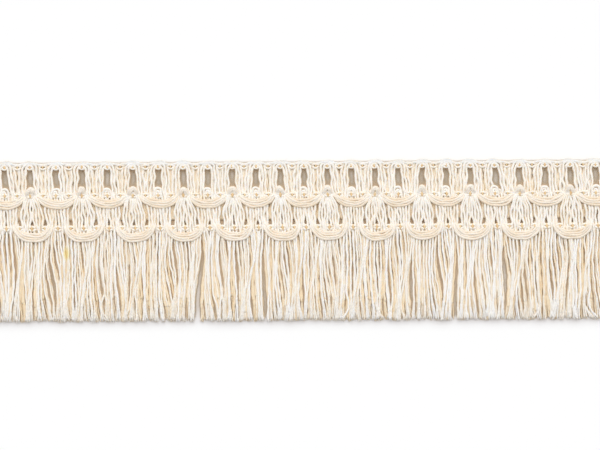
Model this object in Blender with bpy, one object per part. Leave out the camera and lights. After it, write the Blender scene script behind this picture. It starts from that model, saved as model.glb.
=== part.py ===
"""A cut length of chainette fringe trim, lying flat on a surface.

It is made of a crocheted heading with a row of long slots, two scalloped cords and a cut fringe.
Units are metres. X runs along the trim, +Y points to its top edge and +Z is up from the surface.
A drop is a distance down from the top edge, toward the fringe's ends.
"""

import math
import random
from collections import namedtuple

import bmesh
import bpy

MM = 0.001

# Driving sizes
SCALLOPS = 13
SLOTS_A_SCALLOP = 2
COURSES_A_SLOT = 2
STITCH = 3.81 * MM  # pitch of the chain stitches, which is one course of the crochet
WIDTH = 50.0 * MM  # from the top edge to the longest ends
SLOT_WIDTH = 1.7 * MM
TOP_SCALLOP = 0.8 * MM  # dip of the top edge between two slots
CLEARANCE = 0.3 * MM  # between one piece and the next

SLOT_PITCH = COURSES_A_SLOT * STITCH
SCALLOP = SLOTS_A_SCALLOP * SLOT_PITCH
SLOTS = SCALLOPS * SLOTS_A_SCALLOP
COURSES = SLOTS * COURSES_A_SLOT
LENGTH = SCALLOPS * SCALLOP

# The work is uneven: the slots wander along the trim, and its lower part leans to one side
WANDER_LENGTH = 24 * SLOT_PITCH
WANDER_SWAY = 1.2 * MM
WANDER_PUSH = 0.6 * MM
LEAN = 0.8 * MM
LEAN_START = 10.0 * MM
LEAN_END = 24.0 * MM
SLOT_JITTER = 0.2 * MM
HEIGHT_JITTER = 0.05 * MM

# The heading's relief in millimetres, a row for each line along it: its drop, then the heights over
# a slot's middle, at a slot's edge, on a bundle of yarns and at the join of two bundles
Line = namedtuple("Line", "name drop slot edge bundle join")
HEADING_LINES = (
    Line("top edge", 0.0, 0.35, 0.35, 0.35, 0.35),
    Line("loops", 1.0, 0.95, 0.90, 0.85, 0.60),
    Line("top chain", 2.1, 0.90, 1.35, 1.45, 0.85),
    Line("slot top", 3.0, 0.75, 0.45, 0.95, 0.65),
    Line("slot middle", 5.6, 0.45, 0.35, 1.00, 0.60),
    Line("slot bottom", 8.1, 0.75, 0.45, 0.95, 0.65),
    Line("arches", 9.1, 1.45, 1.25, 1.05, 0.85),
    Line("over middle chain", 9.9, 1.05, 1.10, 1.10, 0.95),
    Line("middle chain", 10.7, 1.20, 1.65, 1.75, 1.20),
    Line("under middle chain", 11.6, 1.05, 1.15, 1.20, 1.05),
    Line("under scallops", 14.9, 1.10, 1.20, 1.25, 1.10),
    Line("wedges", 18.2, 0.75, 1.15, 1.25, 0.75),
    Line("lower edge", 19.7, 0.60, 0.95, 1.00, 0.60),
)
SLOT_BANDS = (3, 4)  # the bands of faces that the slots open, counted from the top edge
FEATURES = ("slot", "edge", "bundle", "join", "bundle", "edge")
BUNDLE_CENTRE = 0.26  # of the slot pitch, from a slot's middle

# The fringe's backing strip carries the lower chain row
BACKING_BACK = HEADING_LINES[-1].drop * MM + CLEARANCE
BACKING_CREST = 21.1 * MM
BACKING_FRONT = 22.2 * MM
BACK_HEIGHT = 1.2 * MM
STITCH_HEIGHT = 2.05 * MM
STITCH_DIP = 0.5 * MM
FRONT_HEIGHT = 1.5 * MM

# The fringe's locks lie in two layers; a layer's bends are the drops where its locks may turn
Layer = namedtuple("Layer", "locks_a_course bottom top width bends")
LOWER_LAYER = Layer(2, 0.0, 0.6 * MM, 1.45 * MM, (33.0 * MM,))
UPPER_LAYER = Layer(3, 0.75 * MM, 1.35 * MM, 1.0 * MM, (29.0 * MM, 38.5 * MM))
ROOT_SHARE = 0.78  # of its place along the backing that a lock's root takes
LOCK_GAP = 0.14 * MM
LOCK_SWAY = 0.5 * MM
LONGEST_EVERY = 7  # one lock in so many reaches the full width
SHORTEST = 1.6 * MM  # how much less than that the others may reach
TIP_FLARE = 1.15
CLUMP_MIN = 5.0 * MM
CLUMP_MAX = 12.0 * MM
CLUMP_OPEN_MIN = 0.04  # of a clump's width, lost at the ends as its locks draw together
CLUMP_OPEN_MAX = 0.2

# A scalloped cord, seen from above, is a row of deep loops that hang from a chain row
Cord = namedtuple("Cord", "name top neck trough first_loop")
UPPER_CORD = Cord("upper_scallop_cord", 11.9 * MM, 13.0 * MM, 15.1 * MM, 1)
LOWER_CORD = Cord("lower_scallop_cord", 22.5 * MM, 23.5 * MM, 25.8 * MM, 0)
CORD_BASE = UPPER_LAYER.top + CLEARANCE
CORD_SAG = 0.5 * MM  # how far the top side of a loop dips at its middle
CORD_RIDGE = 0.85 * MM  # height of a cord's two ridges over its flat underside
CORD_GROOVE = 0.6 * MM
RIDGE_PLACE = 0.24  # of the cord's width, in from each side
LOOP_PHASES = (-0.5, -0.43, -0.34, -0.2, 0.0, 0.2, 0.34, 0.43)  # sections of one loop
LOOP_ROUNDNESS = 0.65  # less makes a loop squarer

HEADING_COLOUR = (0.87, 0.79, 0.67)
CORD_COLOUR = (0.88, 0.77, 0.65)
FRINGE_COLOUR = (0.85, 0.77, 0.65)
COTTON_ROUGHNESS = 0.9

rng = random.Random(11)


def jitter(size):
    return rng.uniform(-size, size)


def wander(along):
    turn = math.tau * (along - SLOT_PITCH) / WANDER_LENGTH
    return WANDER_SWAY * math.sin(turn) + WANDER_PUSH * (1 - math.cos(turn))


def lean(drop):
    share = (drop - LEAN_START) / (LEAN_END - LEAN_START)
    return LEAN * min(max(share, 0.0), 1.0)


def place(along, drop, height):
    """The point at a distance along the trim, a drop from its top edge and a height."""
    return (along - LENGTH / 2 + wander(along) + lean(drop), WIDTH / 2 - drop, height)


def cotton(name, colour):
    material = bpy.data.materials.new(name)
    material.use_nodes = True
    shader = material.node_tree.nodes["Principled BSDF"]
    shader.inputs["Base Color"].default_value = (*colour, 1.0)
    shader.inputs["Roughness"].default_value = COTTON_ROUGHNESS
    shader.inputs["Metallic"].default_value = 0.0
    return material


def finished(sheet, name, colour, collection):
    """A named object from a closed bmesh, with its faces outward."""
    bmesh.ops.recalc_face_normals(sheet, faces=sheet.faces[:])
    mesh = bpy.data.meshes.new(name)
    sheet.to_mesh(mesh)
    sheet.free()
    mesh.materials.append(cotton(name + "_cotton", colour))
    piece = bpy.data.objects.new(name, mesh)
    collection.objects.link(piece)
    return piece


def add_relief(sheet, rows, columns, point, is_open=None):
    """Adds quads whose corners are point(row, column), but for those that is_open leaves out."""
    corners = [[sheet.verts.new(point(row, column)) for column in range(columns)] for row in range(rows)]
    for row in range(rows - 1):
        for column in range(columns - 1):
            if is_open and is_open(row, column):
                continue
            near, far = corners[row], corners[row + 1]
            sheet.faces.new((near[column], near[column + 1], far[column + 1], far[column]))
    return corners


def add_walls(sheet, edges):
    """Extrudes edges down to the surface and returns the points there."""
    made = bmesh.ops.extrude_edge_only(sheet, edges=edges)["geom"]
    feet = [item for item in made if isinstance(item, bmesh.types.BMVert)]
    for foot in feet:
        foot.co.z = 0.0
    return feet


def add_underside(sheet):
    """Fills the open rim on the surface, around any holes in it."""
    rim = [edge for edge in sheet.edges if edge.is_boundary]
    bmesh.ops.triangle_fill(sheet, edges=rim, use_beauty=True)


def heading(collection):
    """The crocheted band: loops, top chain, bundles between slots, arches and middle chain."""
    columns = SLOTS * len(FEATURES) + 1
    offsets = (
        0.0,
        SLOT_WIDTH / 2,
        BUNDLE_CENTRE * SLOT_PITCH,
        SLOT_PITCH / 2,
        (1 - BUNDLE_CENTRE) * SLOT_PITCH,
        SLOT_PITCH - SLOT_WIDTH / 2,
    )
    slot_drift = [jitter(SLOT_JITTER) for _ in range(SLOTS + 1)]

    def point(row, column):
        line = HEADING_LINES[row]
        slot, feature = divmod(column, len(FEATURES))
        kind = FEATURES[feature]
        along = slot * SLOT_PITCH + offsets[feature]
        drop = line.drop * MM
        height = getattr(line, kind) * MM
        if line.name == "top edge" and kind == "join":
            drop += TOP_SCALLOP
        if line.name == "slot middle" and kind == "edge":
            along += slot_drift[round(along / SLOT_PITCH)]
        if line.name not in ("top edge", "lower edge"):
            height += jitter(HEIGHT_JITTER)
        return place(along, drop, height)

    def is_open(row, column):
        beside_slot = column % len(FEATURES) in (0, len(FEATURES) - 1)
        return row in SLOT_BANDS and beside_slot

    sheet = bmesh.new()
    add_relief(sheet, len(HEADING_LINES), columns, point, is_open)
    loose = [vert for vert in sheet.verts if not vert.link_faces]
    bmesh.ops.delete(sheet, geom=loose, context="VERTS")
    add_walls(sheet, [edge for edge in sheet.edges if edge.is_boundary])
    add_underside(sheet)
    return finished(sheet, "heading", HEADING_COLOUR, collection)


def clumps():
    """Start, end and opening of each clump that the fringe's ends draw together in."""
    bounds = [0.0]
    while bounds[-1] < LENGTH - CLUMP_MAX:
        bounds.append(bounds[-1] + rng.uniform(CLUMP_MIN, CLUMP_MAX))
    bounds.append(LENGTH)
    openings = [rng.uniform(CLUMP_OPEN_MIN, CLUMP_OPEN_MAX) for _ in bounds[1:]]
    return list(zip(bounds, bounds[1:], openings))


def drawn_together(along, share, clump_list):
    """Where a lock has moved to, when its clump has closed by a share of its opening."""
    for start, end, opening in clump_list:
        if along <= end:
            middle = (start + end) / 2
            return middle + (along - middle) * (1 - opening * share)
    return along


def lock_sides(centres, widest):
    """Left and right sides of locks that lie side by side, with a gap between neighbours."""
    steps = [after - before - LOCK_GAP for before, after in zip(centres, centres[1:])]
    to_left = [widest, *steps]
    to_right = [*steps, widest]
    return [
        (centre - min(widest, left) / 2, centre + min(widest, right) / 2)
        for centre, left, right in zip(centres, to_left, to_right)
    ]


def root_centres(layer):
    pitch = STITCH / layer.locks_a_course
    return [(index + 0.5) * pitch for index in range(COURSES * layer.locks_a_course)]


def layer_lines(layer, clump_list):
    """For each bend of a layer and its end line: the drop there and the sides of its locks."""
    lines = []
    sway = LOCK_SWAY / layer.locks_a_course
    for drop in (*layer.bends, WIDTH):
        share = (drop - BACKING_FRONT) / (WIDTH - BACKING_FRONT)
        drawn = [drawn_together(root, share, clump_list) for root in root_centres(layer)]
        centres = [centre + jitter(sway) for centre in drawn]
        widest = layer.width * (TIP_FLARE if drop == WIDTH else 1.0)
        lines.append((drop, lock_sides(centres, widest)))
    return lines


def extruded(sheet, face, layer, drop, sides):
    """Extrudes a lock's end face to its next section and returns the new end face."""
    end = bmesh.ops.extrude_discrete_faces(sheet, faces=[face])["faces"][0]
    by_height = sorted(end.verts, key=lambda vert: vert.co.z)
    for pair, height in ((by_height[:2], layer.bottom), (by_height[2:], layer.top)):
        left_to_right = sorted(pair, key=lambda vert: vert.co.x)
        for vert, along in zip(left_to_right, sides):
            vert.co = place(along, drop, height)
    return end


def grow_locks(sheet, layer, roots, clump_list):
    """Grows a layer's locks from their root faces, each cut off at its own length."""
    *bends, (end_drop, end_sides) = layer_lines(layer, clump_list)
    last_drop, last_sides = bends[-1]
    for index, face in enumerate(roots):
        for drop, sides in bends:
            face = extruded(sheet, face, layer, drop, sides[index])
        is_longest = index % LONGEST_EVERY == 0
        cut = end_drop - (0.0 if is_longest else rng.uniform(0.0, SHORTEST))
        share = (cut - last_drop) / (end_drop - last_drop)
        both = zip(last_sides[index], end_sides[index])
        sides = [before + (after - before) * share for before, after in both]
        extruded(sheet, face, layer, cut, sides)


def add_root_line(sheet, layer, height):
    """Points across the backing's front: each course's start, then both sides of its roots."""
    half_root = STITCH / layer.locks_a_course * ROOT_SHARE / 2
    alongs = []
    for index, root in enumerate(root_centres(layer)):
        if index % layer.locks_a_course == 0:
            alongs.append(index / layer.locks_a_course * STITCH)
        alongs += [root - half_root, root + half_root]
    alongs.append(LENGTH)
    return [sheet.verts.new(place(along, BACKING_FRONT, height)) for along in alongs]


def add_root_faces(sheet, layer, below, above):
    """Joins a layer's two root lines and returns the faces that its locks grow from."""
    points_a_course = 2 * layer.locks_a_course + 1
    roots = []
    for index in range(len(below) - 1):
        face = sheet.faces.new((below[index], below[index + 1], above[index + 1], above[index]))
        if index % points_a_course % 2 == 1:
            roots.append(face)
    return roots


def add_course_faces(sheet, below, above):
    """Joins two lines across the backing's front with one face a course."""
    below_step = (len(below) - 1) // COURSES
    above_step = (len(above) - 1) // COURSES
    for course in range(COURSES):
        low = below[course * below_step : (course + 1) * below_step + 1]
        high = above[course * above_step : (course + 1) * above_step + 1]
        sheet.faces.new((*low, *reversed(high)))


def fringe(collection):
    """The cut fringe: two layers of locks on a narrow backing strip with the lower chain row."""
    rows = (
        (BACKING_BACK, BACK_HEIGHT, 0.0),
        (BACKING_CREST, STITCH_HEIGHT, STITCH_DIP),
        (BACKING_FRONT, FRONT_HEIGHT, 0.0),
    )

    def point(row, column):
        drop, height, dip = rows[row]
        between_stitches = column % 2 == 0
        return place(column * STITCH / 2, drop, height - dip * between_stitches)

    sheet = bmesh.new()
    top = add_relief(sheet, len(rows), COURSES * 2 + 1, point)
    back_edges = [sheet.edges.get(pair) for pair in zip(top[0], top[0][1:])]
    back_feet = sorted(add_walls(sheet, back_edges), key=lambda foot: foot.co.x)
    lower_feet = add_root_line(sheet, LOWER_LAYER, LOWER_LAYER.bottom)
    lower_tops = add_root_line(sheet, LOWER_LAYER, LOWER_LAYER.top)
    upper_feet = add_root_line(sheet, UPPER_LAYER, UPPER_LAYER.bottom)
    upper_tops = add_root_line(sheet, UPPER_LAYER, UPPER_LAYER.top)
    lower_roots = add_root_faces(sheet, LOWER_LAYER, lower_feet, lower_tops)
    upper_roots = add_root_faces(sheet, UPPER_LAYER, upper_feet, upper_tops)
    add_course_faces(sheet, lower_tops, upper_feet)
    add_course_faces(sheet, upper_tops, top[-1])
    around = (back_feet, *top, upper_tops, upper_feet, lower_tops, lower_feet)
    for end in (0, -1):
        sheet.faces.new([line[end] for line in around])
    add_underside(sheet)
    clump_list = clumps()
    grow_locks(sheet, LOWER_LAYER, lower_roots, clump_list)
    grow_locks(sheet, UPPER_LAYER, upper_roots, clump_list)
    return finished(sheet, "fringe", FRINGE_COLOUR, collection)


def cord_section(cord, along):
    """The drops and heights around a cord at a distance along the trim."""
    turn = math.pi * (along / SLOT_PITCH - cord.first_loop) / SLOTS_A_SCALLOP
    depth = abs(math.cos(turn)) ** LOOP_ROUNDNESS
    inner = cord.top + CORD_SAG * depth
    outer = cord.neck + (cord.trough - cord.neck) * depth
    inset = RIDGE_PLACE * (outer - inner)
    return (
        (inner, CORD_BASE),
        (inner + inset, CORD_BASE + CORD_RIDGE),
        ((inner + outer) / 2, CORD_BASE + CORD_GROOVE),
        (outer - inset, CORD_BASE + CORD_RIDGE),
        (outer, CORD_BASE),
    )


def scallop_cord(cord, collection):
    """A flat cord of parallel yarns, ridged, laid in loops below a chain row."""
    alongs = []
    for loop in range(SCALLOPS + 1):
        for phase in LOOP_PHASES:
            along = cord.first_loop * SLOT_PITCH + (loop + phase) * SCALLOP
            if -CLEARANCE < along < LENGTH + CLEARANCE:
                alongs.append(along)
    sheet = bmesh.new()
    rings = []
    for along in alongs:
        rings.append([sheet.verts.new(place(along, *point)) for point in cord_section(cord, along)])
    for before, after in zip(rings, rings[1:]):
        for side in range(len(before)):
            next_side = (side + 1) % len(before)
            sheet.faces.new((before[side], before[next_side], after[next_side], after[side]))
    sheet.faces.new(rings[0])
    sheet.faces.new(rings[-1])
    return finished(sheet, cord.name, CORD_COLOUR, collection)


def centre_on_origin(pieces):
    """Moves the pieces together so that the middle of their box lies over the origin."""
    for axis in (0, 1):
        spread = [vert.co[axis] for piece in pieces for vert in piece.data.vertices]
        middle = (min(spread) + max(spread)) / 2
        for piece in pieces:
            piece.location[axis] = -middle


def main():
    for existing in list(bpy.data.objects):
        bpy.data.objects.remove(existing, do_unlink=True)
    trim = bpy.data.collections.new("chainette_fringe_trim")
    bpy.context.scene.collection.children.link(trim)
    pieces = [
        heading(trim),
        scallop_cord(UPPER_CORD, trim),
        fringe(trim),
        scallop_cord(LOWER_CORD, trim),
    ]
    centre_on_origin(pieces)


main()
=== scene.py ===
import math
from collections import namedtuple

import bpy
import numpy as np
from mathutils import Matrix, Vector


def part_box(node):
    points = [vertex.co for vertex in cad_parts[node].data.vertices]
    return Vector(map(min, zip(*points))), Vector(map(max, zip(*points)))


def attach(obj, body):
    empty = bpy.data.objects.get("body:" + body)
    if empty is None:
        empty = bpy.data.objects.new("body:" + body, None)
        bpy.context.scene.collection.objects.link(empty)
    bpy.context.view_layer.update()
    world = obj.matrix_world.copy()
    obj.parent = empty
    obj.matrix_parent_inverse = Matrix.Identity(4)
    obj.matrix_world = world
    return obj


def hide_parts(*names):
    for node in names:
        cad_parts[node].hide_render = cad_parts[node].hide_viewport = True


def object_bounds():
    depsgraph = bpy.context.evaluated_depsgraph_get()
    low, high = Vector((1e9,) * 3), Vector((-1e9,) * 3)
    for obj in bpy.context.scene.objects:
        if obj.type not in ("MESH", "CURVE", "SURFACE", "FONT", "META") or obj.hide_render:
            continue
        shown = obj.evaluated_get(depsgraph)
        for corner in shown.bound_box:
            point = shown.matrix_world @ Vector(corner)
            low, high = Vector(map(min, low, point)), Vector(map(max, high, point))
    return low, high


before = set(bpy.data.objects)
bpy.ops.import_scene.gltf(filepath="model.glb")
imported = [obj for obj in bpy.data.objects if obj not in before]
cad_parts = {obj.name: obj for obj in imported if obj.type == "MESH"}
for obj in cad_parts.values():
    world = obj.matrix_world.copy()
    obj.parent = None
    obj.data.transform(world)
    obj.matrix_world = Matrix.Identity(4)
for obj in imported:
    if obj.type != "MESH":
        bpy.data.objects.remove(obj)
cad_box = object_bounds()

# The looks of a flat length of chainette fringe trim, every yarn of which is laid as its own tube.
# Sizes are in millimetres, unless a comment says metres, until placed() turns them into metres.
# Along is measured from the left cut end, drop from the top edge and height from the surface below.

MM = 0.001
draw = np.random.default_rng(12)

# The crochet's layout, the same as in the solids
SLOTS = 26
STITCH = 3.81  # one course of the crochet
COURSES_A_SLOT = 2
SLOTS_A_SCALLOP = 2
COURSES_A_SCALLOP = COURSES_A_SLOT * SLOTS_A_SCALLOP
SLOT_PITCH = COURSES_A_SLOT * STITCH
COURSES = COURSES_A_SLOT * SLOTS
LENGTH = SLOTS * SLOT_PITCH
WIDTH = 50.0
WANDER_LENGTH = 24 * SLOT_PITCH
WANDER_SWAY = 1.2  # to the left and to the right
WANDER_PUSH = 0.6  # to the right alone
LEAN = 0.8  # how far the lower rows lie to the right of the upper ones
LEAN_START = 10.0
LEAN_END = 24.0
TOP = cad_box[1].y / MM

# The columns of a yarn's path, which has a row for each point; tone 0 is tan and tone 1 is pale.
# The tone is each yarn's own, with painted shade where it lies low or under others
ALONG, DROP, HEIGHT, RADIUS, TONE = range(5)


def wander(along):
    """How far the work strays along the trim from an even pitch."""
    turn = math.tau * (along - SLOT_PITCH) / WANDER_LENGTH
    return WANDER_SWAY * np.sin(turn) + WANDER_PUSH * (1 - np.cos(turn))


LEFT_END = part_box("heading")[0].x / MM - wander(0.0)


def placed(path):
    """Turn rows that start with along, drop and height into points in the frame's metres."""
    along, drop, height = path[:, ALONG], path[:, DROP], path[:, HEIGHT]
    lean = LEAN * np.clip((drop - LEAN_START) / (LEAN_END - LEAN_START), 0, 1)
    return np.column_stack((LEFT_END + along + wander(along) + lean, TOP - drop, height)) * MM


# Yarns

SAMPLE = 0.70  # between two rings of a tube
LEAST_STEPS = 2  # between two rows, however near they are
LEAST_RINGS = 3  # of a tube
SHOWN_SIDES = 8
HIDDEN_SIDES = 6
CUT_END = 0.7  # of a yarn's radius is left at its cut end
CRIMPS = ((5.2, 0.12), (2.3, 0.045))  # the length and the size of a spun yarn's small waves
CRIMP_VARIETY = (0.8, 1.25)  # the least and the most of that length that a wave takes
HEAVE = 0.6  # of that size is how far the yarn rises and sinks
HEAVE_PACE = 1.13  # how many times it rises for each time it sways
SLUB = 0.09  # share by which a yarn's radius swells and thins
SLUB_PACE = 0.71
TINY = 1e-9  # keeps a divisor from being zero


def jitter(size):
    """A random number between minus and plus the size."""
    return draw.uniform(-size, size)


def spline(rows, sample=SAMPLE):
    """A smooth curve through the rows, as points that lie about a sample apart."""
    rows = np.asarray(rows, float)
    ends = np.vstack((2 * rows[0] - rows[1], rows, 2 * rows[-1] - rows[-2]))
    curve = []
    for before, here, there, after in zip(ends, ends[1:], ends[2:], ends[3:]):
        distance = np.linalg.norm(there[:RADIUS] - here[:RADIUS])
        steps = max(LEAST_STEPS, math.ceil(distance / sample))
        t = (np.arange(steps) / steps)[:, None]
        curve.append(
            here
            + 0.5 * t * (there - before)
            + t ** 2 * (before - 2.5 * here + 2 * there - 0.5 * after)
            + 0.5 * t ** 3 * (3 * here - before - 3 * there + after)
        )
    return np.vstack(curve + [rows[-1:]])


def distances(points):
    """How far along the path each of its points lies."""
    return np.concatenate(((0,), np.cumsum(np.linalg.norm(np.diff(points, axis=0), axis=1))))


def sideways(path):
    """The direction across the path at each of its points, in along and drop."""
    toward = np.gradient(path[:, :HEIGHT], axis=0)
    toward /= np.linalg.norm(toward, axis=1)[:, None] + TINY
    return np.column_stack((-toward[:, 1], toward[:, 0]))


def crimped(path, share=1.0):
    """Give a yarn the small waves and the uneven thickness of loosely spun cotton."""
    path = path.copy()
    run = distances(path[:, :RADIUS])
    across = sideways(path)
    for length, size in CRIMPS:
        turns = math.tau * run / (length * draw.uniform(*CRIMP_VARIETY))
        sway = np.sin(turns + draw.uniform(0, math.tau))
        rise = np.sin(turns * HEAVE_PACE + draw.uniform(0, math.tau))
        swelling = np.sin(turns * SLUB_PACE + draw.uniform(0, math.tau))
        path[:, :HEIGHT] += across * (share * size * sway)[:, None]
        path[:, HEIGHT] += HEAVE * share * size * rise
        path[:, RADIUS] *= 1 + share * SLUB * swelling
    path[:, HEIGHT] = np.maximum(path[:, HEIGHT], path[:, RADIUS])
    return path


def inside_the_cut(path):
    """The stretches of a path that lie between the trim's two cut ends."""
    inside = (path[:, ALONG] >= 0) & (path[:, ALONG] <= LENGTH)
    breaks = np.flatnonzero(np.diff(inside.astype(int))) + 1
    return [stretch for stretch, kept in zip(np.split(path, breaks), np.split(inside, breaks))
            if kept[0] and len(stretch) >= LEAST_RINGS]


class Skein:
    """Gathers yarns as closed tubes and makes one mesh of them."""

    def __init__(self, sides):
        self.sides = sides
        self.points = []
        self.faces = []
        self.coils = []
        self.lifts = []
        self.tones = []
        self.count = 0

    def lay(self, rows, crimp=1.0, sample=SAMPLE):
        """Lay a yarn through the rows, with its small waves."""
        self.follow(crimped(spline(rows, sample), crimp))

    def follow(self, path):
        """Lay a tube along each stretch of the path that lies between the trim's two cut ends."""
        for stretch in inside_the_cut(path):
            self.add_tube(placed(stretch), stretch[:, RADIUS] * MM, stretch[:, TONE])

    def add_tube(self, centres, radii, tones):
        """Add rings of points round the path, the faces between them and a cap at each end."""
        along = np.gradient(centres, axis=0)
        along /= np.linalg.norm(along, axis=1)[:, None]
        side = np.cross(along, (0, 0, 1))
        side /= np.linalg.norm(side, axis=1)[:, None]
        up = np.cross(side, along)
        angles = (np.arange(self.sides) * math.tau / self.sides - math.tau / 4)[None, :, None]
        ring = np.cos(angles) * side[:, None] + np.sin(angles) * up[:, None]
        radii = np.array(radii)
        radii[[0, -1]] *= CUT_END
        points = centres[:, None] + ring * radii[:, None, None]
        self.points.append(points.reshape(-1, 3))
        upward = ring[:, :, 2]  # from -1 underneath to 1 on the crown
        # the lift, 0 underneath and 1 on the crown, lets the cotton paint light on the crown and
        # shade underneath
        self.lifts.append((upward * 0.5 + 0.5).ravel())
        self.tones.append(np.repeat(tones, self.sides))
        self.add_faces(centres)
        self.count += len(centres) * self.sides

    def add_faces(self, centres):
        """Join the rings by faces whose corners know how far along and round the yarn they lie."""
        sides = self.sides
        run = distances(centres) / MM
        for ring in range(len(centres) - 1):
            here = self.count + ring * sides
            there = here + sides
            near, far = run[ring], run[ring + 1]
            for side in range(sides):
                after = (side + 1) % sides
                self.faces.append((here + side, there + side, there + after, here + after))
                low, high = side / sides, (side + 1) / sides
                self.coils += [near, low, far, low, far, high, near, high]
        first = self.count
        last = self.count + (len(centres) - 1) * sides
        self.faces.append(tuple(range(first, first + sides)))
        self.faces.append(tuple(range(last + sides - 1, last - 1, -1)))
        self.coils += [run[0], 0.0] * sides + [run[-1], 0.0] * sides

    def piece(self, name, material, node, slot):
        """Make the mesh, dress it and let it stand for a node."""
        mesh = bpy.data.meshes.new(name)
        mesh.from_pydata(np.vstack(self.points).tolist(), [], self.faces)
        mesh.shade_smooth()
        coil = mesh.uv_layers.new(name="coil")
        coil.uv.foreach_set("vector", np.array(self.coils, dtype=np.float32))
        for title, values in (("lift", self.lifts), ("tone", self.tones)):
            attribute = mesh.attributes.new(title, "FLOAT", "POINT")
            attribute.data.foreach_set("value", np.concatenate(values).astype(np.float32))
        mesh.materials.append(material)
        piece = bpy.data.objects.new(name, mesh)
        bpy.context.scene.collection.objects.link(piece)
        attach(piece, "root")
        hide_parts(node)
        return piece


# Materials

def link(tree, source, output, target, socket):
    """Join one node's output to another's input."""
    tree.links.new(source.outputs[output], target.inputs[socket])


def attribute_node(tree, name):
    """Read a value that the mesh holds at its points."""
    node = tree.nodes.new("ShaderNodeAttribute")
    node.attribute_name = name
    return node


def arithmetic(tree, operation, first, second=None, third=None):
    """A Math node; each value is a number, or an output of another node."""
    node = tree.nodes.new("ShaderNodeMath")
    node.operation = operation
    for socket, value in zip(node.inputs, (first, second, third)):
        if value is None:
            continue
        if isinstance(value, bpy.types.NodeSocket):
            tree.links.new(value, socket)
        else:
            socket.default_value = value
    return node.outputs[0]


NOISE_DETAIL = 2.0


def noise(tree, size):
    """A soft noise over the object, with lumps of about the given size."""
    place = tree.nodes.new("ShaderNodeTexCoord")
    node = tree.nodes.new("ShaderNodeTexNoise")
    node.inputs["Scale"].default_value = 1 / (size * MM)
    node.inputs["Detail"].default_value = NOISE_DETAIL
    link(tree, place, "Object", node, "Vector")
    return node.outputs["Fac"]


PLIES = 3
PLY_PITCH = 1.1  # along the yarn, from one ply to the next
FIBRE_SIZE = 0.16
FIBRE_SHARE = 0.5  # of a ply's height is how high the fibres stand on it
RELIEF = 0.035


def spun_height(tree):
    """The yarn's relief: three plies that turn round it, under fine fibres."""
    coil = tree.nodes.new("ShaderNodeUVMap")
    coil.uv_map = "coil"
    parts = tree.nodes.new("ShaderNodeSeparateXYZ")
    link(tree, coil, "UV", parts, "Vector")
    turns = arithmetic(tree, "MULTIPLY", parts.outputs["X"], 1 / PLY_PITCH)
    place = arithmetic(tree, "MULTIPLY_ADD", parts.outputs["Y"], PLIES, turns)
    angle = arithmetic(tree, "MULTIPLY", place, math.pi)
    ply = arithmetic(tree, "ABSOLUTE", arithmetic(tree, "SINE", angle))
    return arithmetic(tree, "MULTIPLY_ADD", noise(tree, FIBRE_SIZE), FIBRE_SHARE, ply)


def colour_ramp(tree, value, shades):
    """Shades from one colour to the next by a value from 0 to 1."""
    ramp = tree.nodes.new("ShaderNodeValToRGB")
    ramp.color_ramp.interpolation = "EASE"
    stops = ramp.color_ramp.elements
    while len(stops) < len(shades):
        stops.new(0.5)
    for stop, (position, colour) in zip(stops, shades):
        stop.position = position
        stop.color = (*colour, 1.0)
    tree.links.new(value, ramp.inputs["Fac"])
    return ramp


def share_between(tree, first_drop, last_drop):
    """A value that grows from 0 at the first drop to 1 at the last."""
    place = tree.nodes.new("ShaderNodeTexCoord")
    parts = tree.nodes.new("ShaderNodeSeparateXYZ")
    link(tree, place, "Object", parts, "Vector")
    share = tree.nodes.new("ShaderNodeMapRange")
    share.inputs["From Min"].default_value = (TOP - first_drop) * MM
    share.inputs["From Max"].default_value = (TOP - last_drop) * MM
    link(tree, parts, "Y", share, "Value")
    return share.outputs["Result"]


FLECK_PLACE = (25.1, 28.8, 1.6)  # along, drop and height of the one yellow fleck in the fringe
FLECK_HALF = (1.2, 2.6, 1.5)  # half its size across, down and deep
FLECK_CORE = 0.4  # the share of that size inside which it is strongest
FLECK_STRENGTH = 0.75
FLECK_YELLOW = (0.92, 0.76, 0.27)


def fleck_share(tree):
    """How much of the yellow fleck shows at a point, fading out towards its rim."""
    centre = placed(np.array([FLECK_PLACE]))[0]
    place = tree.nodes.new("ShaderNodeTexCoord")
    fitted = tree.nodes.new("ShaderNodeMapping")
    fitted.vector_type = "TEXTURE"
    fitted.inputs["Location"].default_value = centre
    fitted.inputs["Scale"].default_value = [half * MM for half in FLECK_HALF]
    link(tree, place, "Object", fitted, "Vector")
    away = tree.nodes.new("ShaderNodeVectorMath")
    away.operation = "LENGTH"
    link(tree, fitted, "Vector", away, 0)
    fade = tree.nodes.new("ShaderNodeMapRange")
    fade.inputs["From Min"].default_value = 1.0
    fade.inputs["From Max"].default_value = FLECK_CORE
    fade.inputs["To Max"].default_value = FLECK_STRENGTH
    link(tree, away, "Value", fade, "Value")
    return fade.outputs["Result"]


def mixed(tree, blend, share, first, second):
    """Two colours laid over one another; each is a colour, or an output of another node."""
    mix = tree.nodes.new("ShaderNodeMix")
    mix.data_type = "RGBA"
    mix.blend_type = blend
    tree.links.new(share, mix.inputs["Factor"])
    sockets = [socket for socket in mix.inputs if socket.type == "RGBA"]
    for socket, colour in zip(sockets, (first, second)):
        if isinstance(colour, bpy.types.NodeSocket):
            tree.links.new(colour, socket)
        else:
            socket.default_value = (*colour, 1.0)
    return next(socket for socket in mix.outputs if socket.type == "RGBA")


PAINTED_CROWN_LIGHT = 0.65  # painted light and shade: how much paler a yarn is on its crown than underneath
BLOTCH_SHARE = 0.30
SPECKLE_SHARE = 0.25
TONE_SHARE = 0.70
DARKEST_SUM = 0.65  # what those four come to where the yarn is darkest
BLOTCH_SIZE = 6.0
SPECKLE_SIZE = 0.7


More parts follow.
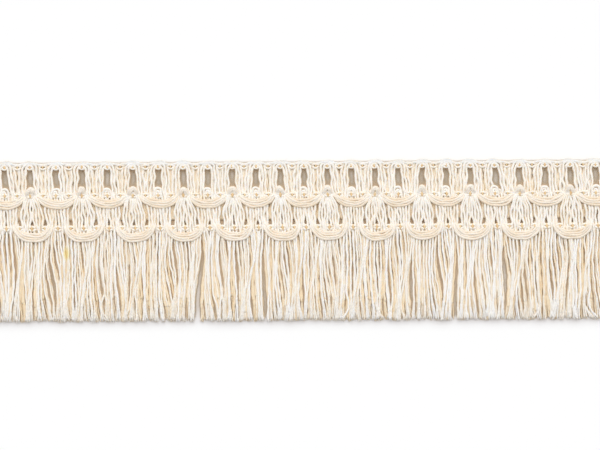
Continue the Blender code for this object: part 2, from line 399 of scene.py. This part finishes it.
def paleness(tree):
    """Where a point lies between the darkest and the palest shade, with painted light on the crown
    and painted shade underneath.
    """
    lift = attribute_node(tree, "lift").outputs["Fac"]
    tone = attribute_node(tree, "tone").outputs["Fac"]
    # painted light on the yarn's crown, painted shade underneath
    crown = arithmetic(tree, "MULTIPLY", lift, PAINTED_CROWN_LIGHT)
    blotched = arithmetic(tree, "MULTIPLY_ADD", noise(tree, BLOTCH_SIZE), BLOTCH_SHARE, crown)
    speckled = arithmetic(tree, "MULTIPLY_ADD", noise(tree, SPECKLE_SIZE), SPECKLE_SHARE, blotched)
    toned = arithmetic(tree, "MULTIPLY_ADD", tone, TONE_SHARE, speckled)
    return arithmetic(tree, "SUBTRACT", toned, DARKEST_SUM)


COTTON_SURFACE = {
    "Roughness": 0.85,
    "Specular IOR Level": 0.25,
    "Sheen Weight": 0.10,
    "Sheen Roughness": 0.5,
    "Sheen Tint": (1.0, 0.93, 0.84, 1.0),
    "Subsurface Weight": 0.12,
    "Subsurface Radius": (1.0, 0.8, 0.6),
    "Subsurface Scale": 0.2 * MM,
}
EDGE_SHADE_DROPS = (2.0, 0.2)  # the drops between which the top edge is painted a little greyer than the rest, as painted shade
EDGE_SHADE_GREY = (0.76, 0.82, 0.91)


def cotton(name, shades):
    """Undyed cotton with painted light: pale on a yarn's crown, and tan as painted shade where it
    turns under its neighbours.
    """
    material = bpy.data.materials.new(name)
    material.use_nodes = True
    tree = material.node_tree
    shader = tree.nodes["Principled BSDF"]
    for socket, value in COTTON_SURFACE.items():
        shader.inputs[socket].default_value = value
    plain = colour_ramp(tree, paleness(tree), shades).outputs["Color"]
    # painted shade: the top edge a little greyer
    edge_shaded = mixed(tree, "MULTIPLY", share_between(tree, *EDGE_SHADE_DROPS), plain, EDGE_SHADE_GREY)
    spotted = mixed(tree, "MIX", fleck_share(tree), edge_shaded, FLECK_YELLOW)
    tree.links.new(spotted, shader.inputs["Base Color"])

    bump = tree.nodes.new("ShaderNodeBump")
    bump.inputs["Distance"].default_value = RELIEF * MM
    bump.inputs["Strength"].default_value = 1.0
    tree.links.new(spun_height(tree), bump.inputs["Height"])
    link(tree, bump, "Normal", shader, "Normal")
    return material


# Shades from the darkest places of a yarn to the palest; the tan end paints shade under a yarn and
# low in the work, besides the yarns' own tan
WHITE_SHADES = (
    (0.0, (0.73, 0.53, 0.31)),
    (0.35, (0.90, 0.75, 0.54)),
    (0.70, (0.95, 0.90, 0.83)),
    (1.0, (0.96, 0.94, 0.92)),
)
CORD_SHADES = (
    (0.0, (0.73, 0.54, 0.33)),
    (0.35, (0.87, 0.74, 0.58)),
    (0.70, (0.92, 0.84, 0.74)),
    (1.0, (0.95, 0.91, 0.86)),
)
# the knots' orange tan is painted shade, for the hollows at the chain's stitches
KNOT_PAINTED_SHADES = (
    (0.0, (0.60, 0.36, 0.15)),
    (0.35, (0.75, 0.51, 0.26)),
    (0.75, (0.85, 0.66, 0.40)),
    (1.0, (0.91, 0.79, 0.57)),
)


# The first weft: yarns that loop over each slot and run down both its sides, behind all the rest

Loop = namedtuple("Loop", "offset top height rise tone")  # the rise is from its feet to its top
FRONT_LOOPS = (
    Loop(1.20, 1.80, 1.00, 0.25, 0.66),
    Loop(2.10, 1.15, 1.08, 0.05, 0.68),
    Loop(3.06, 0.62, 0.98, -0.35, 0.62),
)
# The back loops lie lower, darker with painted shade
BACK_LOOPS = (
    Loop(1.70, 2.25, 0.56, -0.1, 0.58),
    Loop(2.60, 0.90, 0.56, -0.1, 0.52),
    Loop(3.45, 0.75, 0.56, -0.1, 0.46),
)
SLOT_SWAY = 0.15  # how far a slot may lie off its even place
LOOP_FOOT = 3.3
LOOP_SWAY = 0.12
LOOP_SQUARENESS = 0.75
LOOP_ANGLES = np.radians((0, 35, 65, 90, 115, 145, 180))
LEG_RADIUS = 0.40
LEG_DROPS = (5.0, 7.0, 9.0, 11.3, 13.5, 16.0, 18.5)
LEG_SWAY = 0.18
LEG_HEAVE = 0.08
LEG_LEANS = (0.05, 0.70)  # how far the bundles left and right of every slot lean to the right
LEG_SLANT = 0.45  # how far both bundles of a slot may lean besides, the same way
LEG_SPREAD = 0.2  # and how far each of them may
LEG_TONE_SWAY = 0.14
COVERED = 12.0  # drop where the upper cord and the second weft cover the legs
COVERED_HEIGHT = 0.42
COVERED_SHADE = 0.5  # of a leg's tone is left there, as painted shade under the cord and the weft


def rounded(angle, squareness):
    """How far across and up an arch is at an angle, fuller the nearer the squareness is to 0."""
    across = math.copysign(abs(math.cos(angle)) ** squareness, math.cos(angle))
    return across, abs(math.sin(angle)) ** squareness


def leg_rows(middle, side, loop, slant):
    """One side of a loop, from below its foot down to its hidden end."""
    tone = loop.tone + jitter(LEG_TONE_SWAY)
    rows = []
    for drop in LEG_DROPS:
        stray = slant * min(1.0, (drop - LOOP_FOOT) / (COVERED - LOOP_FOOT))
        along = middle + side * (loop.offset + jitter(LEG_SWAY)) + stray
        covered = drop > COVERED
        height = COVERED_HEIGHT if covered else loop.height + jitter(LEG_HEAVE)
        rows.append((along, drop, height, LEG_RADIUS, tone * (COVERED_SHADE if covered else 1.0)))
    return rows


def loop_rows(middle, loop):
    """The loop over the slot, from its left foot to its right one."""
    top = loop.top + jitter(LOOP_SWAY)
    rows = []
    for angle in LOOP_ANGLES:
        across, up = rounded(angle, LOOP_SQUARENESS)
        along = middle - loop.offset * across
        drop = LOOP_FOOT - (LOOP_FOOT - top) * up
        rows.append((along, drop, loop.height + loop.rise * up, LEG_RADIUS, loop.tone))
    return rows


def first_weft():
    """All the slots' loops and legs, in a front piece and a back one."""
    front = Skein(SHOWN_SIDES)
    back = Skein(HIDDEN_SIDES)
    for slot in range(SLOTS + 1):
        middle = slot * SLOT_PITCH + jitter(SLOT_SWAY)
        slant = jitter(LEG_SLANT)
        slants = [lean + slant + jitter(LEG_SPREAD) for lean in LEG_LEANS]
        for skein, loops in ((front, FRONT_LOOPS), (back, BACK_LOOPS)):
            for loop in loops:
                left = leg_rows(middle, -1, loop, slants[0])
                right = leg_rows(middle, 1, loop, slants[1])
                skein.lay(left[::-1] + loop_rows(middle, loop) + right)
    material = cotton("leg_cotton", WHITE_SHADES)
    return [front.piece("first_weft", material, "heading", "heading_yarn"),
            back.piece("first_weft_back", material, "heading", "heading_yarn")]


# The second weft: yarns that loop under each slot and run down to the lowest chain row

WEFT_YARNS = 4
WEFT_PITCH = STITCH / WEFT_YARNS
WEFT_RADIUS = 0.39
WEFT_SWAY = 0.10
WEFT_TONE = 0.66
WEFT_TONE_SWAY = 0.15
UNDER_DEPTH = 0.62  # yarns darkened with painted shade lie this deep between and under the pale ones
UNDER_SHADE_TONE = 0.36
UNDER_TONE_SWAY = 0.10

# Values for each point of a yarn, at these drops
WEFT_DROPS = (11.2, 12.8, 14.8, 16.6, 18.2, 19.6, 21.2, 22.6)
WEFT_HEIGHTS = (1.25, 1.28, 1.25, 1.25, 1.22, 1.25, 1.22, 0.75)
STRAIGHT = (0.90, 0.98, 1.0, 1.0, 1.0, 1.0, 1.0, 1.0)  # how far out a yarn lies, of its even place
FANNED = (0.46, 0.64, 0.84, 0.95, 1.0, 1.0, 1.0, 1.0)  # and in a fan, which opens below a crest
FAN_RISE = (0.05, 0.15, 0.08, 0.0, 0.0, 0.0, 0.0, 0.0)  # how much higher a fan's yarns lie
PINCH_AT_JOIN = (0.0, 0.0, 0.0, 0.10, 0.30, 0.48, 0.42, 0.2)  # how far the yarns leave the joins
PINCH_AT_SLOT = (-0.15, -0.15, -0.1, -0.1, 0.0, 0.24, 0.30, 0.1)  # and the middles of the slots


def weft_leg(middle, side, place, fanned, depth, tone):
    """A yarn of the second weft, from the slot's arch down to the lowest chain row."""
    share = place / STITCH
    spread = FANNED if fanned else STRAIGHT
    rows = []
    for number, drop in enumerate(WEFT_DROPS):
        pinch = PINCH_AT_SLOT[number] * (1 - share) - PINCH_AT_JOIN[number] * share
        along = middle + side * ((place + pinch) * spread[number] + jitter(WEFT_SWAY))
        rise = FAN_RISE[number] if fanned else 0.0
        height = WEFT_HEIGHTS[number] - depth + rise + jitter(WEFT_SWAY)
        rows.append((along, drop, height, WEFT_RADIUS, tone))
    return rows


ARCH_FOOT = 10.6
ARCH_SQUARENESS = 0.7
ARCH_ANGLES = np.radians((12, 35, 60, 90, 120, 145, 168))
ARCH_RISE = 0.15
ARCH_RADIUS = 0.42
ARCH_TONE = 0.74

# Values for each yarn of an arch, from the innermost; only the first two lie over the legs
ARCH_OFFSETS = (0.45, 1.10, 2.35, 3.3)
ARCH_HEIGHTS = (1.3, 1.3, 0.6, 0.5)
ARCH_TOPS = (9.5, 8.75, 9.8, 10.0)
COVERED_TOPS = (9.9, 9.7, 9.8, 10.0)  # under the crest of the upper cord


def arch_rows(middle, number, top):
    """The arch under a slot, from left to right."""
    rows = []
    for angle in ARCH_ANGLES:
        across, up = rounded(angle, ARCH_SQUARENESS)
        along = middle - ARCH_OFFSETS[number] * across
        drop = ARCH_FOOT - (ARCH_FOOT - top) * up
        rows.append((along, drop, ARCH_HEIGHTS[number] + ARCH_RISE * up, ARCH_RADIUS, ARCH_TONE))
    return rows


def has_upper_trough(slot):
    """Whether the upper cord hangs under the slot. The lower one hangs under the others."""
    return slot % SLOTS_A_SCALLOP == 1


def second_weft():
    """The arches under all the slots with the yarns that run down from them."""
    skein = Skein(SHOWN_SIDES)
    for slot in range(SLOTS + 1):
        middle = slot * SLOT_PITCH + jitter(SLOT_SWAY)
        fanned = not has_upper_trough(slot)
        tops = COVERED_TOPS if fanned else ARCH_TOPS
        for number in range(WEFT_YARNS):
            place = (number + 0.5) * WEFT_PITCH
            left = weft_leg(middle, -1, place, fanned, 0.0, WEFT_TONE + jitter(WEFT_TONE_SWAY))
            right = weft_leg(middle, 1, place, fanned, 0.0, WEFT_TONE + jitter(WEFT_TONE_SWAY))
            skein.lay(left[::-1] + arch_rows(middle, number, tops[number]) + right)
        for number in range(1, WEFT_YARNS):
            place = number * WEFT_PITCH
            for side in (-1, 1):
                tone = UNDER_SHADE_TONE + jitter(UNDER_TONE_SWAY)
                skein.lay(weft_leg(middle, side, place, fanned, UNDER_DEPTH, tone))
    material = cotton("weft_cotton", WHITE_SHADES)
    return skein.piece("second_weft", material, "heading", "heading_yarn")


# The two cords: four yarns side by side, in rows from the middle of a trough to the next crest

CordPoint = namedtuple("CordPoint", "along drop height spread")
SPREAD = 3  # the column of the spread, in the rows of a cord's middle line
UPPER_CORD = (
    CordPoint(0.0, 13.55, 1.68, 0.92),
    CordPoint(1.6, 13.45, 1.68, 0.92),
    CordPoint(3.0, 13.0, 1.68, 0.85),
    CordPoint(4.1, 12.4, 1.64, 0.70),
    CordPoint(4.9, 11.7, 1.20, 0.48),
    CordPoint(5.6, 11.2, 0.75, 0.38),
    CordPoint(6.3, 10.7, 0.85, 0.32),
    CordPoint(6.75, 10.0, 1.40, 0.28),
    CordPoint(6.95, 9.4, 1.68, 0.28),
    CordPoint(7.25, 9.0, 1.78, 0.30),
    CordPoint(7.62, 8.85, 1.80, 0.32),
)
LOWER_CORD = (
    CordPoint(0.0, 23.75, 1.74, 0.92),
    CordPoint(1.8, 23.65, 1.74, 0.92),
    CordPoint(3.2, 23.1, 1.74, 0.86),
    CordPoint(4.3, 22.1, 1.74, 0.76),
    CordPoint(4.85, 21.1, 1.62, 0.64),
    CordPoint(5.1, 20.2, 1.15, 0.56),
    CordPoint(5.3, 19.2, 0.72, 0.50),
    CordPoint(5.7, 17.2, 0.55, 0.45),
    CordPoint(6.5, 15.3, 0.50, 0.40),
    CordPoint(7.62, 14.4, 0.50, 0.40),
)
FIRST_UPPER_TROUGH = -1  # its slot, counted from the left cut end; it lies beyond that end
FIRST_LOWER_TROUGH = -2
CORD_RADIUS = 0.43  # of each yarn
CORD_CRIMP = 0.35
CORD_PLACES = (-1.11, -0.37, 0.37, 1.11)  # of each yarn across the cord, where its spread is 1
CROWDED = (0.0, 0.52, 0.16, 0.64)  # how far each yarn rides up, where the spread comes near 0
CORD_ROUNDING = 0.12  # how quickly the cord falls off towards its outer yarns
CORD_WOBBLE = 0.10
CORD_STRAY = 0.25  # how far a trough may lie off its slot's middle
CORD_SAG = 0.15
CORD_TILT = 0.11  # how much a trough may slope, as drop over along
CORD_TONE = 0.36
CORD_TONE_SWAY = 0.14
CREST_TONE = 0.50  # how much paler the cord is, where the spread comes near 0


def cord_line(points, first_slot):
    """A cord's middle line with its spread, over the whole length."""
    line = []
    for slot in range(first_slot, SLOTS + SLOTS_A_SCALLOP + 1, SLOTS_A_SCALLOP):
        middle = slot * SLOT_PITCH + jitter(CORD_STRAY)
        sag = jitter(CORD_SAG)
        tilt = jitter(CORD_TILT)
        for side, half in ((-1, points[:0:-1]), (1, points[:-1])):
            for point in half:
                drop = point.drop + sag + tilt * side * point.along * point.spread
                line.append((middle + side * point.along, drop, point.height, point.spread))
    return np.array(line)


def cord_yarn(line, place, crowded):
    """The rows of one yarn of a cord, beside its middle line."""
    spread = line[:, SPREAD]
    offset = place * spread + draw.uniform(-CORD_WOBBLE, CORD_WOBBLE, len(line))
    beside = line[:, :HEIGHT] + sideways(line) * offset[:, None]
    lifted = crowded * (1 - spread) - CORD_ROUNDING * place ** 2
    height = line[:, HEIGHT] + lifted + draw.uniform(-CORD_WOBBLE, CORD_WOBBLE, len(line))
    tone = CORD_TONE + CREST_TONE * (1 - spread) + jitter(CORD_TONE_SWAY)
    tone += draw.uniform(-CORD_TONE_SWAY, CORD_TONE_SWAY, len(line))
    radius = np.full(len(line), CORD_RADIUS)
    return np.column_stack((beside, height, radius, tone))


def cord(name, points, first_slot, node):
    """One scalloped cord."""
    skein = Skein(SHOWN_SIDES)
    line = cord_line(points, first_slot)
    for place, crowded in zip(CORD_PLACES, CROWDED):
        skein.lay(cord_yarn(line, place, crowded), CORD_CRIMP)
    return skein.piece(name, cotton(name + "_cotton", CORD_SHADES), node, "cord_yarn")


# The chain rows: two strands that ring each knot and pass under the upright yarns between two knots

# The dip is how far the strands sink at a knot, and the ring how far out they pass round it.
# The knot is its size, as a share of the usual one.
ChainRow = namedtuple("ChainRow", "name drop height dip ring radius knot node slot")
CHAIN_ROWS = (
    ChainRow("top_chain", 2.05, 1.35, 0.10, 0.62, 0.36, 1.0, "heading", "heading_yarn"),
    ChainRow("middle_chain", 10.9, 1.65, 0.20, 0.54, 0.36, 1.12, "heading", "heading_yarn"),
    ChainRow("lowest_chain", 21.0, 1.70, 0.20, 0.58, 0.38, 1.3, "fringe", "fringe_yarn"),
)
CHAIN_TONE = 0.64
CHAIN_TONE_SWAY = 0.08
CHAIN_SWAY = 0.05
CHAIN_CRIMP = 0.3
CHAIN_SAMPLE = 0.5
DEEP_DIP = 1.00  # how far the middle chain's lower strand sinks under a fan of yarns

# A place between two knots: its share of the stitch and of the ring's width, and how deep it lies
RingPoint = namedtuple("RingPoint", "share spread sink")
RING_POINTS = (
    RingPoint(0.11, 0.85, 0.05),
    RingPoint(0.20, 0.50, 0.25),
    RingPoint(0.29, 0.35, 0.85),
    RingPoint(0.50, 0.35, 1.05),
    RingPoint(0.71, 0.35, 0.85),
    RingPoint(0.80, 0.50, 0.25),
    RingPoint(0.89, 0.85, 0.05),
)


def is_over_slot(stitch):
    """Whether a stitch lies over a slot. The others lie over the joins between two slots."""
    return stitch % COURSES_A_SLOT == 0


def chain_strand(row, side):
    """One of the two strands of a chain row."""
    rows = []
    for stitch in range(COURSES + 1):
        knot = stitch * STITCH
        under_fan = row.name == "middle_chain" and side > 0 and stitch % COURSES_A_SCALLOP == 0
        at_knot = RingPoint(0.0, 1.0, DEEP_DIP if under_fan else row.dip)
        for point in (at_knot, *RING_POINTS):
            along = knot + point.share * STITCH
            drop = row.drop + side * (row.ring * point.spread + jitter(CHAIN_SWAY))
            tone = CHAIN_TONE + jitter(CHAIN_TONE_SWAY)
            rows.append((along, drop, row.height - point.sink, row.radius, tone))
    return rows[:-len(RING_POINTS)]


EDGE_CRIMP = 0.5
EDGE_OVER_SLOT = (1.00, 0.98, 0.50)  # the edge strand's drop, height and radius
EDGE_OVER_JOIN = (1.25, 0.85, 0.38)


def edge_strand():
    """The soft strand along the top edge, which sinks between two slots."""
    rows = []
    for stitch in range(COURSES + 1):
        drop, height, radius = EDGE_OVER_SLOT if is_over_slot(stitch) else EDGE_OVER_JOIN
        tone = CHAIN_TONE + jitter(CHAIN_TONE_SWAY)
        rows.append((stitch * STITCH, drop + jitter(CHAIN_SWAY), height, radius, tone))
    return rows


def chain_row(row):
    """The strands of a chain row."""
    skein = Skein(SHOWN_SIDES)
    for side in (-1, 1):
        skein.lay(chain_strand(row, side), CHAIN_CRIMP, CHAIN_SAMPLE)
    if row.name == "top_chain":
        skein.lay(edge_strand(), EDGE_CRIMP)
    return skein.piece(row.name, cotton(row.name + "_cotton", WHITE_SHADES), row.node, row.slot)


KNOT_LENGTH = 1.0
KNOT_RADIUS = 0.29
KNOT_FOOT = 0.4  # how far a knot's ends sink
KNOT_SWAY = 0.10
KNOT_TONE_SWAY = 0.12
KNOT_SAMPLE = 0.25
Knot = namedtuple("Knot", "size tone")
SLOT_KNOT = Knot(1.15, 0.44)  # knots over the slots are larger than those over the joins, and darker with painted shade over the hollow slot
JOIN_KNOT = Knot(0.85, 0.62)


def knots(row):
    """The small loops that hold the chain's stitches, coloured orange tan as painted shade in the
    hollows there.
    """
    skein = Skein(SHOWN_SIDES)
    for stitch in range(COURSES + 1):
        along = stitch * STITCH + jitter(KNOT_SWAY)
        kind = SLOT_KNOT if is_over_slot(stitch) else JOIN_KNOT
        half = KNOT_LENGTH / 2 * row.knot * kind.size
        radius = KNOT_RADIUS * row.knot * kind.size
        top = row.height + row.radius - radius
        foot = top - KNOT_FOOT
        tone = kind.tone + jitter(KNOT_TONE_SWAY)
        rows = (
            (along, row.drop - half, foot, radius, tone),
            (along + jitter(KNOT_SWAY), row.drop - half / 2, top, radius, tone),
            (along + jitter(KNOT_SWAY), row.drop + half / 2, top, radius, tone),
            (along, row.drop + half, foot, radius, tone),
        )
        skein.lay(rows, crimp=0.0, sample=KNOT_SAMPLE)
    material = cotton(row.name + "_knot_shade_cotton", KNOT_PAINTED_SHADES)
    return skein.piece(row.name + "_knots", material, row.node, row.slot)


# The fringe: three layers of yarns whose ends come untwisted

Gap = namedtuple("Gap", "along width")  # a negative width draws the yarns together
GAPS = (
    Gap(9.0, 0.5), Gap(20.9, 0.4), Gap(27.5, 0.45), Gap(36.4, -0.4), Gap(43.0, 0.5),
    Gap(65.6, 1.1), Gap(76.2, 0.5), Gap(81.6, 0.4), Gap(85.9, 0.45), Gap(99.6, 0.4),
    Gap(107.4, 0.45), Gap(114.7, 0.4), Gap(128.6, 0.35), Gap(133.6, 0.8), Gap(141.8, 0.35),
    Gap(146.9, 0.6), Gap(152.0, 0.3), Gap(161.9, 1.0), Gap(180.7, 0.6), Gap(41.1, -0.4),
    Gap(63.3, -0.45), Gap(110.6, -0.4), Gap(175.4, -0.4), Gap(182.5, -0.4),
)
GAP_REACH = 2.0
GAP_START = 24.0  # the drop where the gaps begin to open
GAP_END = 37.0  # and the drop where they are fully open
FRINGE_ROOT = 20.6
Drift = namedtuple("Drift", "length turn size")  # the turn is for each millimetre of drop
DRIFTS = (Drift(17.0, 0.13, 0.60), Drift(7.1, 0.19, 0.40), Drift(3.9, 0.29, 0.18))
DRIFT_START = 9.0  # how far below the root the drift has its full size


def parting(along, drop):
    """How far the gaps and clumps of the fringe push a yarn aside."""
    opened = np.clip((drop - GAP_START) / (GAP_END - GAP_START), 0, 1)
    push = 0.0
    for gap in GAPS:
        away = along - gap.along
        push += gap.width * np.sign(away) * math.exp(-abs(away) / GAP_REACH)
    return push * opened


def drift(along, drop):
    """A slow sideways sway that neighbouring yarns share."""
    grown = min(1.0, (drop - FRINGE_ROOT) / DRIFT_START)
    sway = 0.0
    for wave in DRIFTS:
        sway += wave.size * math.sin(math.tau * along / wave.length + wave.turn * drop)
    return sway * grown


# The sway is how far a layer's tips stray, and the strands are how many a yarn untwists into
Layer = namedtuple("Layer", "name per_course height radius tone sway sides tip_sides strands")
# Each layer's tone is darker the lower it lies: painted shade among the yarns
LAYERS = (
    Layer("front", 3.7, 1.42, 0.32, 0.71, 1.1, SHOWN_SIDES, 5, 6),
    Layer("middle", 3.25, 1.02, 0.38, 0.34, 0.8, HIDDEN_SIDES, 4, 5),
    Layer("back", 4.2, 0.50, 0.46, 0.26, 0.3, HIDDEN_SIDES, 4, 3),
)
BEND_DROPS = (22.5, 26.0, 31.0, 36.0, 41.0, 45.5)
ROOT_HEIGHT = 0.7  # of the layer's height, where the yarns leave the chain row
ROOT_LIGHT = 0.12  # painted light: how much paler they are just below there than at their tips, against the shade under the lower cord
FRINGE_CRIMP = 0.6  # the hanging yarns lie straighter than the worked ones
FRINGE_SWAY = 0.12
FRINGE_TONE_SWAY = 0.28
TIP_FALL = 0.65  # how much lower a yarn lies at its tip
CUT_LINE = 49.6  # the drop where all the yarns are cut
CUT_SWAY = 0.35
Kink = namedtuple("Kink", "along bow throw")  # a yarn end that bows one way and turns the other
KINKS = (Kink(36.6, -0.7, 1.3), Kink(112.2, 0.8, -1.2), Kink(122.6, -0.8, 1.4),
         Kink(172.9, 0.7, -1.3), Kink(187.8, -0.7, 1.2))
KINK_REACH = 0.55
STRAY_SHARE = 0.08  # of the front yarns have an end that strays
STRAY_SIZE = 0.8


def fringe_yarn(layer, along):
    """The rows of a hanging yarn, with its cut end last."""
    tip = CUT_LINE + jitter(CUT_SWAY)
    tone = layer.tone + jitter(FRINGE_TONE_SWAY)
    lean = jitter(layer.sway)
    rows = [(along, FRINGE_ROOT, layer.height * ROOT_HEIGHT, layer.radius, tone)]
    for drop in (*BEND_DROPS, tip):
        share = (drop - FRINGE_ROOT) / (WIDTH - FRINGE_ROOT)
        pushed = along + parting(along, drop) + drift(along, drop)
        place = pushed + lean * share + jitter(FRINGE_SWAY)
        height = max(layer.radius, layer.height + jitter(FRINGE_SWAY) - TIP_FALL * share)
        rows.append((place, drop, height, layer.radius, tone + ROOT_LIGHT * (1 - share)))
    bends = [(kink.bow, kink.throw) for kink in KINKS if abs(along - kink.along) < KINK_REACH]
    if draw.random() < STRAY_SHARE:
        bends.append((jitter(STRAY_SIZE / 2), jitter(STRAY_SIZE)))
    if layer.name == "front":
        for bow, throw in bends:
            rows[-2] = (rows[-2][0] + bow, *rows[-2][1:])
            rows[-1] = (rows[-1][0] + throw, *rows[-1][1:])
    return rows


FRAY_LENGTHS = (3.0, 9.0)
FRAY_OVERLAP = 2  # rings by which a yarn reaches in among its strands
FRAY_START = 0.17  # how far a yarn's strands lie from its middle
FRAY_SPREAD = 0.38  # and how much farther at its end
FRAY_REACH = (0.4, 1.0)  # the least and the most of that spread that a strand takes
FRAY_TURN = 0.6  # of a strand's even share of the turn, by which its direction may vary
FRAY_BLOOM = 1.3  # above 1 a yarn stays closed longer before it opens
FRAY_FLATNESS = 0.6  # the strands part less upwards than sideways
FRAY_LIGHT = 0.22  # painted light: the untwisted ends are paler, against the shade at the cut ends
FRAY_TONE_SWAY = 0.08
FRAY_CUT_SWAY = 0.35
STRAND_RADIUS = 0.21
STRAND_TAPER = 0.06


def fray(tips, path, strands):
    """Untwist a yarn's end into strands that spread apart, and return the row they start at."""
    length = draw.uniform(*FRAY_LENGTHS)
    start = len(path) - 1 - int(length / SAMPLE)
    end = path[start:]
    run = np.linspace(0, 1, len(end))
    for strand in range(strands):
        angle = math.tau * (strand + FRAY_TURN * draw.random()) / strands
        reach = FRAY_START + FRAY_SPREAD * draw.uniform(*FRAY_REACH) * run ** FRAY_BLOOM
        rows = end.copy()
        rows[:, ALONG] += math.cos(angle) * reach
        rows[:, DROP] += jitter(FRAY_CUT_SWAY) * run
        rows[:, HEIGHT] += FRAY_FLATNESS * math.sin(angle) * reach
        rows[:, HEIGHT] = np.maximum(STRAND_RADIUS, rows[:, HEIGHT])
        rows[:, RADIUS] = STRAND_RADIUS - STRAND_TAPER * run
        rows[:, TONE] += FRAY_LIGHT * run + jitter(FRAY_TONE_SWAY)
        tips.follow(rows)
    return start


def fringe_layer(layer):
    """One layer of the fringe and its untwisted ends, as two pieces."""
    yarns = Skein(layer.sides)
    tips = Skein(layer.tip_sides)
    count = round(COURSES * layer.per_course)
    pitch = LENGTH / count
    for number in range(count):
        along = (number + 0.5) * pitch + jitter(FRINGE_SWAY)
        path = crimped(spline(fringe_yarn(layer, along)), FRINGE_CRIMP)
        start = fray(tips, path, layer.strands)
        yarns.follow(path[:start + FRAY_OVERLAP])
    material = cotton("fringe_" + layer.name + "_cotton", WHITE_SHADES)
    return [yarns.piece("fringe_" + layer.name, material, "fringe", "fringe_yarn"),
            tips.piece("fringe_" + layer.name + "_ends", material, "fringe", "fringe_yarn")]


# The setting, in metres

PICTURE_WIDTH = 0.186  # how much of the trim's length the picture takes in
CAMERA_HEIGHT = 0.6
CAMERA_CENTRE = (-0.0005, 0.0047)
CAMERA_ROLL = math.radians(-0.33)
SENSOR_WIDTH = 36.0  # in millimetres, like the lens


def add_camera():
    """A camera straight above the trim, square to it but for a slight roll."""
    camera = bpy.data.cameras.new("camera")
    camera.sensor_width = SENSOR_WIDTH
    camera.lens = camera.sensor_width * CAMERA_HEIGHT / PICTURE_WIDTH
    holder = bpy.data.objects.new("camera", camera)
    holder.location = (*CAMERA_CENTRE, CAMERA_HEIGHT)
    holder.rotation_euler = (0, 0, CAMERA_ROLL)
    bpy.context.scene.collection.objects.link(holder)
    bpy.context.scene.camera = holder


FLOOR_SIZE = 3.0
FLOOR_ROUGHNESS = 0.9
FLOOR_WHITE = (0.955, 0.955, 0.955)
PAINTED_SHADE_REACH = 0.004  # how near a yarn must be to paint shade on the surface

# The surface's painted shade, from wholly closed in to open: warm shade under the trim and a grey
# painted shadow beyond the fringe's ends
PAINTED_SHADE_UNDER = (
    (0.0, (0.98, 0.78, 0.56)),
    (0.30, (0.84, 0.68, 0.50)),
    (0.52, (0.47, 0.395, 0.29)),
    (0.72, (0.80, 0.77, 0.75)),
    (1.0, FLOOR_WHITE),
)
PAINTED_SHADOW_BEYOND = (
    (0.0, (0.95, 0.92, 0.90)),
    (0.90, (0.83, 0.815, 0.82)),
    (1.0, FLOOR_WHITE),
)
FRINGE_RIM = (48.4, 49.4)  # the drops in millimetres where the first give way to the second
TOP_RIM = (1.0, 0.2)  # and those where the first give way to plain white


def floor_colour(tree):
    """White, with painted shade: warm and darker where the yarns close it in, and a greyer painted
    shadow past the fringe's ends.
    """
    closeness = tree.nodes.new("ShaderNodeAmbientOcclusion")
    closeness.inputs["Distance"].default_value = PAINTED_SHADE_REACH
    under = colour_ramp(tree, closeness.outputs["AO"], PAINTED_SHADE_UNDER).outputs["Color"]
    beyond = colour_ramp(tree, closeness.outputs["AO"], PAINTED_SHADOW_BEYOND).outputs["Color"]
    below_top = mixed(tree, "MIX", share_between(tree, *FRINGE_RIM), under, beyond)
    return mixed(tree, "MIX", share_between(tree, *TOP_RIM), below_top, FLOOR_WHITE)


def add_floor():
    """A white surface, with painted shade near the trim."""
    material = bpy.data.materials.new("white_floor")
    material.use_nodes = True
    tree = material.node_tree
    shader = tree.nodes["Principled BSDF"]
    shader.inputs["Roughness"].default_value = FLOOR_ROUGHNESS
    shader.inputs["Specular IOR Level"].default_value = 0.0
    tree.links.new(floor_colour(tree), shader.inputs["Base Color"])
    half = FLOOR_SIZE / 2
    corners = [(-half, -half, 0), (half, -half, 0), (half, half, 0), (-half, half, 0)]
    mesh = bpy.data.meshes.new("floor")
    mesh.from_pydata(corners, [], [(0, 1, 2, 3)])
    mesh.materials.append(material)
    floor = bpy.data.objects.new("floor", mesh)
    bpy.context.scene.collection.objects.link(floor)


SURROUND_STRENGTH = 0.55
LIGHT_STRENGTH = 1.03
LIGHT_WIDTH = math.radians(70)
LIGHTS_TOWARD = (Vector((-0.40, 0.75, 1.0)), Vector((0.40, 0.75, 1.0)))  # as seen from the trim


def add_light():
    """An even white surround, with wide soft lights from above and beyond the top edge."""
    world = bpy.data.worlds.new("surround")
    world.use_nodes = True
    background = world.node_tree.nodes["Background"]
    background.inputs["Color"].default_value = (1, 1, 1, 1)
    background.inputs["Strength"].default_value = SURROUND_STRENGTH
    bpy.context.scene.world = world
    for toward in LIGHTS_TOWARD:
        lamp = bpy.data.lights.new("soft_light", "SUN")
        lamp.energy = LIGHT_STRENGTH
        lamp.angle = LIGHT_WIDTH
        holder = bpy.data.objects.new("soft_light", lamp)
        holder.rotation_euler = toward.to_track_quat("Z", "Y").to_euler()
        bpy.context.scene.collection.objects.link(holder)


def main():
    """Make every piece of the trim and its setting."""
    add_camera()
    add_floor()
    add_light()
    bpy.context.scene.view_settings.view_transform = "Standard"
    cloth, back = first_weft()
    others = [back, second_weft()]
    others.append(cord("upper_cord", UPPER_CORD, FIRST_UPPER_TROUGH, "upper_scallop_cord"))
    others.append(cord("lower_cord", LOWER_CORD, FIRST_LOWER_TROUGH, "lower_scallop_cord"))
    for row in CHAIN_ROWS:
        others.append(chain_row(row))
        others.append(knots(row))
    for layer in LAYERS:
        others.extend(fringe_layer(layer))


main()
